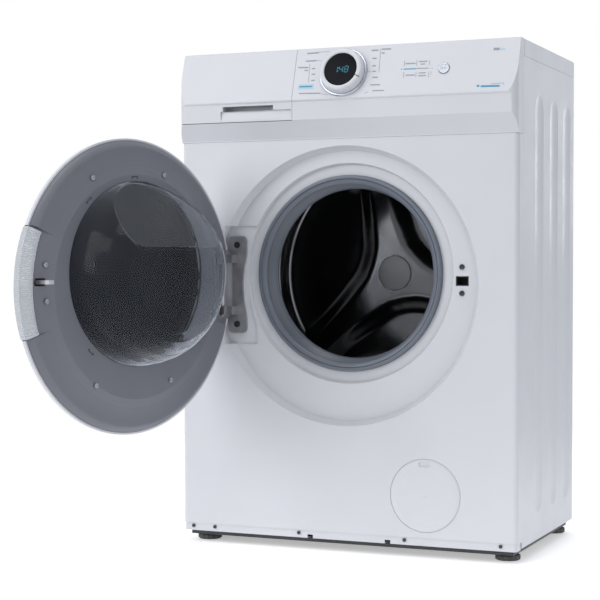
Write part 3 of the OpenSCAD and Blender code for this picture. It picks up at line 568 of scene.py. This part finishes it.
# ---------------------------------------------------------------- the gasket
fold = [(151.8, 23.0), (149.8, 21.6), (149.2, 19.2), (150.4, 16.8), (153.6, 14.9),
        (157.2, 14.1), (158.0, 15.2), (158.8, 13.9), (161.0, 13.4), (163.6, 14.2), (164.8, 16.4),
        (164.6, 20.0), (164.6, 25.8), (168.0, 26.2), (174.0, 27.5), (177.0, 29.8),
        (178.0, 33.0), (177.0, 36.2), (174.0, 38.5), (166.0, 39.4), (160.0, 40.2),
        (157.2, 42.0), (155.8, 45.4), (153.0, 50.2), (149.6, 55.2), (146.0, 56.6),
        (143.6, 55.9), (142.9, 53.4), (144.0, 50.4), (145.6, 49.2), (145.8, 47.8),
        (148.0, 46.2), (151.6, 43.8), (154.4, 41.0), (157.4, 38.2), (161.5, 36.9),
        (166.0, 36.4), (172.0, 35.5), (174.0, 33.0), (172.0, 30.5), (164.0, 29.4),
        (158.4, 28.6), (155.0, 26.0)]
points, faces = lathe(fold, on_drum, 144)
make("gasket_bellows", points, faces, MATERIALS["rubber_grey"], "cabinet",
     hides=("gasket",))

# ---------------------------------------------------------------- the door
def arc(profile, spans, place):
    """A closed (radius, depth) profile swept through spans of degrees, capped at the ends."""
    points, faces = [], []
    for start, stop in spans:
        count = max(2, int(abs(stop - start))) + 1
        faces += tube_faces(count, len(profile), len(points))
        for i in range(count):
            a = math.radians(start + (stop - start) * i / (count - 1))
            points += [place(r, a, d) for r, d in profile]
    return points, faces


def on_ring(r, a, n):
    """A point at radius r and angle a round the door's rim."""
    return door_at(RING_U + r * math.cos(a), n, RING_Z + r * math.sin(a))


def on_bowl(r, a, n):
    """A point at radius r and angle a round the glass bowl's axis."""
    return door_at(BOWL_U + r * math.cos(a), n, DRUM_Z + r * math.sin(a))


bevel = [(234.6, 1.9), (233.9, 3.8), (226.4, 10.2), (224.6, 11.0), (222.0, 11.2),
         (216.0, 11.3), (208.0, 12.3), (202.0, 13.4), (196.0, 14.85), (193.0, 15.6),
         (192.0, 15.2), (204.0, 11.0), (230.0, 2.0)]
points, faces = arc(bevel, [(24.2, 163.4), (197.2, 340.6)], on_ring)
make("door_lining_edge", points, faces, MATERIALS["door_grey"], "door")

# The dark surround between the bowl's opening and the window
points, faces = lathe([(149.6, 11.8), (156.4, -8.0), (157.0, -30.6), (155.8, -30.6),
                       (155.2, -8.0), (148.2, 11.4)], on_bowl, 120)
make("door_window_surround", points, faces, MATERIALS["dark_window"], "door")

# The grip: a frosted bar along the rim, ribbed across, with plain ends
GRIP_START, GRIP_SWEEP = -19.2, 42.4                       # degrees round the rim
GRIP_STEPS = 640
RIB_HEIGHT, RIB_STEPS = 0.55, 12                           # a rib, and its steps
PLAIN_STEPS, CAP_STEPS = 16, 3                             # plain at each end, and its edge
PLAIN_HEIGHT = 1.0
OUTER, RAISED = (0, 1), (0, 1, 8, 9, 10, 11)               # points of the bar's outline
bar = [(238.4, 4.2), (238.5, -5.0), (233.0, -13.0), (225.0, -20.6), (217.8, -23.4),
       (216.4, -20.0), (216.2, -2.0), (215.2, 4.6), (215.6, 10.4), (220.0, 10.8),
       (226.0, 9.6), (233.0, 7.2)]
points = []
for i in range(GRIP_STEPS + 1):
    turn = math.radians(GRIP_START + GRIP_SWEEP * i / GRIP_STEPS)
    end = min(i, GRIP_STEPS - i)
    if end > PLAIN_STEPS:
        rib = RIB_HEIGHT * (0.5 + 0.5 * math.cos(2 * math.pi * i / RIB_STEPS))
    else:
        rib = PLAIN_HEIGHT if end > CAP_STEPS else 0.0
    for k, (r, d) in enumerate(bar):
        sink = 0.6 - rib if k in OUTER else 0.0
        lift = rib if k in RAISED else 0.0
        points.append(on_ring(r - sink, turn, d + lift))
faces = tube_faces(GRIP_STEPS + 1, len(bar))
make("door_grip", points, faces, MATERIALS["clear_plastic"], "door",
     hides=("door_handle",))

# Moulded slots round the bowl, each a line with two bent ends
SLOTS = ((7, 155), (107, 115), (-96, 117), (104, -122), (-76, -123))
HALF = 7                                                   # half a slot's length
LEAN, LEG = 2.5, 3.5                                       # a bent end, across and inwards
cells = []
for du, dz in SLOTS:
    a = math.atan2(dz, du)
    r = math.hypot(du, dz)
    ends = [(r * math.cos(a) - side * HALF * math.sin(a),
             r * math.sin(a) + side * HALF * math.cos(a)) for side in (-1, 1)]
    for side, (x, up) in zip((-1, 1), ends):
        cells.append(strip(x, up, x + side * LEAN * math.sin(a) - LEG * math.cos(a),
                           up - side * LEAN * math.cos(a) - LEG * math.sin(a), 1.5))
    cells.append(strip(*ends[1], *ends[0], 1.6))

FLAT_R, FRAME_R = 180, 234.7                               # the frame's flat part and its edge
FLAT_N, EDGE_N = 20.0, 2


def frame_depth(u, z):
    """How far the grey frame stands out of the door's plane at a place on it."""
    r = math.hypot(u - RING_U, z - RING_Z)
    if r <= FLAT_R:
        return FLAT_N
    return EDGE_N + (FLAT_N - EDGE_N) * (FRAME_R - r) / (FRAME_R - FLAT_R)


points, faces = bars(cells, lambda x, up, out: door_at(
    BOWL_U + x, frame_depth(BOWL_U + x, DRUM_Z + up) + out, DRUM_Z + up), 0.2, 0.06)
make("door_slots", points, faces, MATERIALS["print_black"], "door", smooth=False)

# ---------------------------------------------------------------- lock screws
LOCK_X = 201.5
SCREW_HEAD = [(0.01, 11.9), (1.6, 11.9), (1.9, 12.7), (3.4, 12.4), (4.3, 13.4), (4.5, 14.9),
              (0.01, 14.9)]
points, faces = [], []
for z in (478, 435):
    head, head_faces = lathe(SCREW_HEAD, lambda r, a, y, z=z: part(
        LOCK_X + r * math.cos(a), y, z + r * math.sin(a)), 32)
    faces += shifted(head_faces, len(points))
    points += head
make("lock_screws", points, faces, MATERIALS["screw_dark"], "cabinet")

# ---------------------------------------------------------------- feet
# Rows of a foot in metres: radius, height, and 1 where the lobes show
FOOT_ROWS = [(0.0193, 0.0008, 0), (0.0202, 0.0016, 1), (0.0202, 0.0070, 1),
             (0.0193, 0.0086, 1), (0.0150, 0.0102, 0), (0.0125, 0.0104, 0),
             (0.0125, 0.0094, 0), (0.0170, 0.0060, 0)]
LOBES, LOBE_DEPTH = 14, 0.0007


def on_foot(middle, row, a):
    r, z, lobed = FOOT_ROWS[row]
    r += lobed * LOBE_DEPTH * math.cos(a * LOBES)
    return Vector((middle.x + r * math.cos(a), middle.y + r * math.sin(a), z))


for name in ("foot_fl", "foot_fr", "foot_rl", "foot_rr"):
    lo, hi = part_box(name)
    middle = (lo + hi) / 2
    points, faces = lathe([(row, row) for row in range(len(FOOT_ROWS))],
                          lambda row, a, d, middle=middle: on_foot(middle, row, a), 168)
    make(name + "_lobes", points, faces, MATERIALS["rubber_black"],
         next(b for b, nodes in BODIES.items() if name in nodes))

# ---------------------------------------------------------------- control marks
# Each mark: from (x, up) to (x, up) in millimetres from the selector's axis, and its width
GREY_MARKS = (
    (-70, 38.2, -48, 38.7, 2.2), (-47, 39.6, -29, 39.6, 0.5), (-71, 24.3, -51, 24.3, 2.2),
    (-50, 24.3, -42.5, 24, 0.5), (-83.5, 13.6, -65, 12.6, 2.2), (-71, 7.6, -65, 7.5, 2),
    (-63, 19.3, -61.4, -14.5, 0.6), (-58.4, 10.1, -52, 10.2, 2), (-57.4, -0.1, -51, 0, 2),
    (-57, -11.3, -50.5, -11, 2), (-76.5, -33.6, -37.5, -34.8, 1.8), (-37, -35.8, -24, -38.4, 0.5),
    (45.7, 37.3, 57.6, 37.2, 2.2), (61.3, 38.8, 62.5, -2, 0.6), (63.4, 38.6, 79.5, 38.2, 2.2),
    (63.8, 31.8, 69.3, 31.5, 2), (48.3, 22.9, 56, 22.9, 2), (49.8, 9.4, 56.3, 9.5, 2),
    (50.8, -0.2, 57.4, -0.4, 2), (52, -10.9, 61.9, -11.2, 2), (50.1, -24, 67.2, -24.5, 2),
    (54.5, -34.5, 75, -35, 1.8), (42, -38, 48, -36, 0.5), (43, 0, 48.5, -0.2, 0.5),
    (105.3, 15.7, 106, 6, 0.7), (107.8, 10.5, 125, 10.2, 1.8), (126.7, 16, 126.9, 5.8, 0.7),
    (130.4, 12.8, 145, 12.9, 1.8), (133.5, 8.3, 141.6, 8.3, 1.6), (148.9, 14.4, 149.1, 5.7, 0.7),
    (127, 1, 148, 0.6, 1.4), (151, 0.3, 152.2, 0.3, 1.2), (154, 0.2, 155.2, 0.2, 1.2),
    (106.2, -4.2, 106.6, -14.4, 0.7), (109.5, -9.9, 125.4, -10.2, 1.8),
    (127.3, -4.8, 127.7, -14.6, 0.7), (131.8, -7.1, 144.2, -7.2, 1.6),
    (131.6, -12, 145, -12.2, 1.6), (149.3, -5.3, 149.7, -15.6, 0.7),
    (153, -5.5, 153.4, -11, 0.6), (255, 28, 265.2, 27.6, 4.2))
TEAL_MARKS = (
    (-77, -21.6, -54, -22, 2.6), (101, 1.2, 103, 1.1, 2), (105.5, 1, 126.5, 0.7, 1.6),
    (232.4, -34.4, 236.8, -34.5, 3.4), (239.2, -35.3, 270.6, -36, 3),
    (256, -32, 276, -31.2, 0.5), (276.4, -31, 277, -34.4, 0.5))
PALE_MARKS = ((-79.4, -21.8, -51.4, -22.3, 8.6), (266.4, 27.5, 274.4, 27.3, 3.2))
for name, marks, thick, ink in (("marks_grey", GREY_MARKS, 0.12, "print_grey"),
                                ("marks_teal", TEAL_MARKS, 0.14, "print_teal"),
                                ("marks_pale", PALE_MARKS, 0.06, "print_pale")):
    points, faces = bars([strip(*mark) for mark in marks], face_at, thick)
    make(name, points, faces, MATERIALS[ink], "cabinet", smooth=False)

# Digits behind the display's face: which strokes each has, and where a stroke runs
SEGMENTS = {"1": "bc", "4": "bcfg", "8": "abcdefg"}
AT = {"a": (0, 1, 1, 1), "b": (1, 1, 1, 0), "c": (1, 0, 1, -1), "d": (0, -1, 1, -1),
      "e": (0, 0, 0, -1), "f": (0, 1, 0, 0), "g": (0, 0, 1, 0)}
DIGIT_W, DIGIT_H = 6, 5.2                                  # a digit's width and half its height
INSET, SLANT, STROKE, DROP = 0.09, 0.1, 0.8, 0.6
DISPLAY_OUT = 15.4                                         # the display's face
cells = []
for digit, x in (("1", -11.0), ("4", -1.8), ("8", 7.6)):
    for stroke in SEGMENTS[digit]:
        x0, y0, x1, y1 = AT[stroke]
        side = INSET if x1 > x0 else 0
        end = INSET if y1 < y0 else 0
        u0, v0 = x + DIGIT_W * (x0 + side), DIGIT_H * (y0 - end)
        u1, v1 = x + DIGIT_W * (x1 - side), DIGIT_H * (y1 + end)
        cells.append(strip(u0 + SLANT * v0, v0 - DROP, u1 + SLANT * v1, v1 - DROP, STROKE))
cells += [strip(-3.4, 1.2, -3.4, 2.4, 1.1), strip(-3.7, -3.4, -3.7, -2.2, 1.1)]
points, faces = bars(cells, lambda x, up, out: face_at(x, up, DISPLAY_OUT + out), 0.05, 0.02)
glow = Tree("digits_lit")
glow.set(Base_Color=glow.mix(glow.noise(400.0), (0.02, 0.20, 0.30, 1), (0.03, 0.26, 0.38, 1)))
glow.shader.inputs["Emission Color"].default_value = (0.05, 0.42, 0.62, 1)
glow.shader.inputs["Emission Strength"].default_value = 0.16
glow.set(Roughness=glow.ramp(glow.noise(300.0), 0, 1, 0.3, 0.5))
make("display_digits", points, faces, glow.material, "cabinet", smooth=False)

# The selector's pointer: a thin strip laid over the ring's edge
POINTER_TURN = math.radians(-23)
POINTER = [(29.4, 16.0), (30.6, 16.5), (32.9, 16.5), (35.4, 15.6), (36.8, 13.6)]
POINTER_OUTLINE = ((-0.7, 0.0), (0.7, 0.0), (0.7, -0.5), (-0.7, -0.5))
along = Vector((math.cos(POINTER_TURN), math.sin(POINTER_TURN)))
points = [face_at(r * along.x - side * along.y, r * along.y + side * along.x, out + up)
          for r, out in POINTER for side, up in POINTER_OUTLINE]
faces = tube_faces(len(POINTER), len(POINTER_OUTLINE))
make("knob_pointer", points, faces, MATERIALS["print_black"], "knob",
     smooth=False)

# The start symbol: a ring with a triangle and two bars in it
START_X, START_UP, START_OUT = 174.5, -1, 1.0
RING_R, RING_SIDES = 8.7, 48
PRINT_W = 0.8
ring = [(START_X + RING_R * math.cos(2 * math.pi * k / RING_SIDES),
         START_UP + RING_R * math.sin(2 * math.pi * k / RING_SIDES)) for k in range(RING_SIDES)]
cells = [strip(*ring[k], *ring[(k + 1) % RING_SIDES], PRINT_W) for k in range(RING_SIDES)]
cells += [strip(START_X + dx, START_UP - 2.2, START_X + dx, START_UP + 2.2, PRINT_W)
          for dx in (0.9, 2.9)]
cells.append([(START_X - 3.6, START_UP - 2.4), (START_X - 0.4, START_UP),
              (START_X - 3.6, START_UP + 2.4)])
points, faces = bars(cells, lambda x, up, out: face_at(x, up, START_OUT + out), 0.1)
make("start_symbol", points, faces, MATERIALS["print_grey"], "start_key",
     smooth=False)

# ---------------------------------------------------------------- floor
FLOOR_R = 9.0
FADE_START, FADE_END = 0.55, 1.9                           # the floor fades into the background
bm = bmesh.new()
bmesh.ops.create_circle(bm, cap_ends=True, radius=FLOOR_R, segments=96)
floor_mesh = bpy.data.meshes.new("floor")
bm.to_mesh(floor_mesh)
bm.free()
floor = bpy.data.objects.new("floor", floor_mesh)
scene.collection.objects.link(floor)
floor.location.z = -0.0005
pale_floor = Tree("floor_pale")
pale_floor.set(Base_Color=pale_floor.mix(pale_floor.ramp(pale_floor.noise(1.5), 0.3, 0.7),
                                         (0.90, 0.90, 0.91, 1), (0.92, 0.92, 0.92, 1)))
pale_floor.set(Roughness=pale_floor.ramp(pale_floor.noise(40.0), 0, 1, 0.75, 0.85))
pale_floor.shader.inputs["Specular IOR Level"].default_value = 0.1
pale_floor.shader.inputs["Emission Color"].default_value = (1, 1, 1, 1)
pale_floor.shader.inputs["Emission Strength"].default_value = 0.4
pale_floor.bump(pale_floor.noise(90.0), 0.0001, 0.3)
clear = pale_floor.add("BsdfTransparent")
reach = pale_floor.vector("LENGTH", pale_floor.where)
fade = pale_floor.add("MixShader")
pale_floor.links.new(pale_floor.ramp(reach, FADE_START, FADE_END), fade.inputs[0])
pale_floor.links.new(pale_floor.shader.outputs[0], fade.inputs[1])
pale_floor.links.new(clear.outputs[0], fade.inputs[2])
pale_floor.links.new(fade.outputs[0], pale_floor.out.inputs["Surface"])
floor_mesh.materials.append(pale_floor.material)
